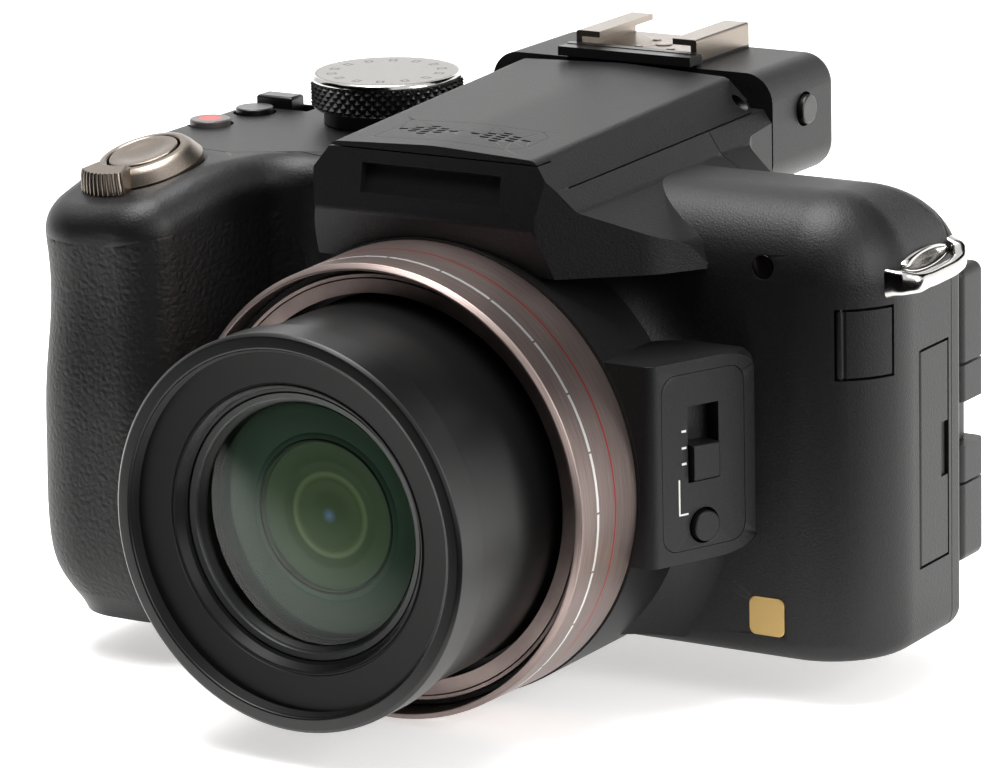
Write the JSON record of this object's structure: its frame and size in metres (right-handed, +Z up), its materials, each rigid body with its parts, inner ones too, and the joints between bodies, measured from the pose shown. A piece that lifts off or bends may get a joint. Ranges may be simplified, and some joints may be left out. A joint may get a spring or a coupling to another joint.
{
  "type": "bridge camera",
  "caption": "Bridge camera with a telescoping zoom lens, deep rubber grip, pop-up flash, electronic viewfinder and a side-hinged screen.",
  "frame": {"origin": "mouth of the tripod socket, in the base and under the lens axis", "axes": "+Z up, the lens looks along -Y, +X is the side with the terminal doors"},
  "size_m": [0.1305, 0.1177, 0.0859],
  "materials": {
    "body_plastic": "fine-grained moulded, low sheen",
    "grip_rubber": "leather grain",
    "satin_black": "satin black paint",
    "gloss_black": "gloss",
    "bronze": "satin anodised, warm rose grey",
    "silver": "satin silver",
    "chrome": "polished",
    "steel": "brushed",
    "gold": "satin",
    "glass": "coated, green tint",
    "screen": "dark display window",
    "board": "solder mask",
    "battery": "satin wrap"
  },
  "bodies": {
    "camera_body": {"front_shell": "body_plastic", "rear_shell": "body_plastic", "top_cover": "body_plastic", "finder_housing": "body_plastic", "focus_plate": "body_plastic", "lens_base": "body_plastic", "lens_guide_tube": "body_plastic", "hot_shoe_base": "body_plastic", "grip_rubber": "grip_rubber", "thumb_rest": "grip_rubber", "eyecup": "grip_rubber", "terminals": "gloss_black", "lens_ring": "bronze", "strap_lugs": "chrome", "hot_shoe_rails": "steel", "tripod_socket": "steel", "case_screws": "steel", "badge_plate": "gold", "finder_lens": "glass", "af_lamp_window": "glass", "image_sensor": "screen", "main_board": "board", "battery": "battery", "memory_card": "battery"},
    "middle_barrel_body": {"middle_barrel": "satin_black"},
    "front_barrel_body": {"front_barrel": "satin_black", "front_lens_cell": "body_plastic", "front_element": "glass"},
    "cam_ring_body": {"cam_ring": "body_plastic"},
    "zoom_group_body": {"zoom_group": "body_plastic"},
    "focus_group_body": {"focus_group": "body_plastic"},
    "flash_body": {"flash_lid": "body_plastic", "mic_plate": "gloss_black", "flash_reflector": "silver", "flash_window": "glass"},
    "screen_body": {"screen_frame": "body_plastic", "screen_glass": "screen", "screen_hinge_block": "body_plastic"},
    "shutter_button_body": {"shutter_button": "bronze"},
    "zoom_lever_body": {"zoom_lever": "bronze"},
    "mode_dial_body": {"mode_dial": "satin_black", "mode_dial_cap": "silver"},
    "rear_dial_body": {"rear_dial": "gloss_black"},
    "diopter_dial_body": {"diopter_dial": "gloss_black"},
    "power_switch_body": {"power_switch": "gloss_black"},
    "focus_switch_body": {"focus_switch": "gloss_black"},
    "cursor_pad_body": {"cursor_pad": "gloss_black"},
    "set_button_body": {"set_button": "gloss_black"},
    "battery_door_body": {"battery_door": "body_plastic"},
    "battery_latch_body": {"battery_latch": "body_plastic"},
    "terminal_door_body": {"terminal_door": "body_plastic"},
    "jack_door_body": {"jack_door": "body_plastic"},
    "movie_button_body": {"movie_button": "gloss_black"},
    "drive_button_body": {"drive_button": "gloss_black"},
    "playback_button_body": {"playback_button": "gloss_black"},
    "lock_button_body": {"lock_button": "gloss_black"},
    "display_button_body": {"display_button": "gloss_black"},
    "quick_menu_button_body": {"quick_menu_button": "gloss_black"},
    "focus_button_body": {"focus_button": "gloss_black"},
    "flash_button_body": {"flash_button": "gloss_black"}
  },
  "joints": [
    {"name": "zoom_slide", "type": "slide", "parent": "camera_body", "child": "middle_barrel_body", "axis": [0, -1, 0], "range_m": [0, 0.022]},
    {"name": "cam_turn", "type": "hinge", "parent": "camera_body", "child": "cam_ring_body", "pos_m": [0, -0.0325, 0.027], "axis": [0, -1, 0], "range_deg": [0, 62]},
    {"name": "zoom_group_slide", "type": "slide", "parent": "camera_body", "child": "zoom_group_body", "axis": [0, 1, 0], "range_m": [0, 0.008]},
    {"name": "front_barrel_slide", "type": "slide", "parent": "middle_barrel_body", "child": "front_barrel_body", "axis": [0, -1, 0], "range_m": [-0.0205, 0.002]},
    {"name": "focus_slide", "type": "slide", "parent": "camera_body", "child": "focus_group_body", "axis": [0, -1, 0], "range_m": [-0.003, 0.002]},
    {"name": "flash_hinge", "type": "hinge", "parent": "camera_body", "child": "flash_body", "pos_m": [0, 0.0172, 0.072], "axis": [-1, 0, 0], "range_deg": [0, 34]},
    {"name": "screen_hinge", "type": "hinge", "parent": "camera_body", "child": "screen_body", "pos_m": [0.05625, 0.01375, 0.029], "axis": [0, 0, -1], "range_deg": [0, 180]},
    {"name": "shutter_press", "type": "slide", "parent": "camera_body", "child": "shutter_button_body", "axis": [0.121, 0.2485, -0.961], "range_m": [0, 0.0015], "stiffness_N_per_m": 200},
    {"name": "zoom_lever_turn", "type": "hinge", "parent": "camera_body", "child": "zoom_lever_body", "pos_m": [-0.051, -0.0315, 0.0654], "axis": [-0.121, -0.2485, 0.961], "range_deg": [-20, 20], "stiffness_Nm_per_rad": 0.02},
    {"name": "mode_dial_turn", "type": "hinge", "parent": "camera_body", "child": "mode_dial_body", "pos_m": [-0.0337, 0.0067, 0.07], "axis": [0, 0, 1], "continuous": true},
    {"name": "rear_dial_turn", "type": "hinge", "parent": "camera_body", "child": "rear_dial_body", "pos_m": [-0.049, 0.0094, 0.0565], "axis": [0, 0, 1], "continuous": true},
    {"name": "diopter_turn", "type": "hinge", "parent": "camera_body", "child": "diopter_dial_body", "pos_m": [-0.024, 0.0311, 0.0668], "axis": [-1, 0, 0], "range_deg": [-120, 120]},
    {"name": "power_slide", "type": "slide", "parent": "camera_body", "child": "power_switch_body", "axis": [1, 0, 0], "range_m": [0, 0.0026]},
    {"name": "focus_switch_slide", "type": "slide", "parent": "camera_body", "child": "focus_switch_body", "axis": [0, 0, 1], "range_m": [0, 0.0052]},
    {"name": "cursor_pad_press", "type": "slide", "parent": "camera_body", "child": "cursor_pad_body", "axis": [0, -1, 0], "range_m": [0, 0.0008], "stiffness_N_per_m": 300},
    {"name": "set_button_press", "type": "slide", "parent": "camera_body", "child": "set_button_body", "axis": [0, -1, 0], "range_m": [0, 0.0008], "stiffness_N_per_m": 300},
    {"name": "movie_button_press", "type": "slide", "parent": "camera_body", "child": "movie_button_body", "axis": [0, 0, -1], "range_m": [0, 0.0008], "stiffness_N_per_m": 300},
    {"name": "drive_button_press", "type": "slide", "parent": "camera_body", "child": "drive_button_body", "axis": [0, 0, -1], "range_m": [0, 0.0008], "stiffness_N_per_m": 300},
    {"name": "playback_button_press", "type": "slide", "parent": "camera_body", "child": "playback_button_body", "axis": [0, -1, 0], "range_m": [0, 0.0008], "stiffness_N_per_m": 300},
    {"name": "lock_button_press", "type": "slide", "parent": "camera_body", "child": "lock_button_body", "axis": [0, -1, 0], "range_m": [0, 0.0008], "stiffness_N_per_m": 300},
    {"name": "display_button_press", "type": "slide", "parent": "camera_body", "child": "display_button_body", "axis": [0, -1, 0], "range_m": [0, 0.0008], "stiffness_N_per_m": 300},
    {"name": "quick_menu_button_press", "type": "slide", "parent": "camera_body", "child": "quick_menu_button_body", "axis": [0, -1, 0], "range_m": [0, 0.0008], "stiffness_N_per_m": 300},
    {"name": "focus_button_press", "type": "slide", "parent": "camera_body", "child": "focus_button_body", "axis": [-0.9174, 0.3979, 0], "range_m": [0, 0.0008], "stiffness_N_per_m": 300},
    {"name": "flash_button_press", "type": "slide", "parent": "camera_body", "child": "flash_button_body", "axis": [-1, 0, 0], "range_m": [0, 0.0008], "stiffness_N_per_m": 300},
    {"name": "battery_door_hinge", "type": "hinge", "parent": "camera_body", "child": "battery_door_body", "pos_m": [-0.03865, -0.0215, 0.00065], "axis": [0, -1, 0], "range_deg": [0, 90]},
    {"name": "battery_latch_slide", "type": "slide", "parent": "battery_door_body", "child": "battery_latch_body", "axis": [0, 1, 0], "range_m": [0, 0.002]},
    {"name": "terminal_door_hinge", "type": "hinge", "parent": "camera_body", "child": "terminal_door_body", "pos_m": [0.06035, -0.00355, 0.02785], "axis": [0, 0, -1], "range_deg": [0, 90]},
    {"name": "jack_door_hinge", "type": "hinge", "parent": "camera_body", "child": "jack_door_body", "pos_m": [0.05483, -0.01631, 0.04675], "axis": [0, 0, -1], "range_deg": [0, 80]}
  ],
  "couplings": [
    {"joint": "cam_turn", "follows": "zoom_slide", "rad_per_m": 49.18},
    {"joint": "zoom_group_slide", "follows": "zoom_slide", "ratio": 0.3636}
  ]
}
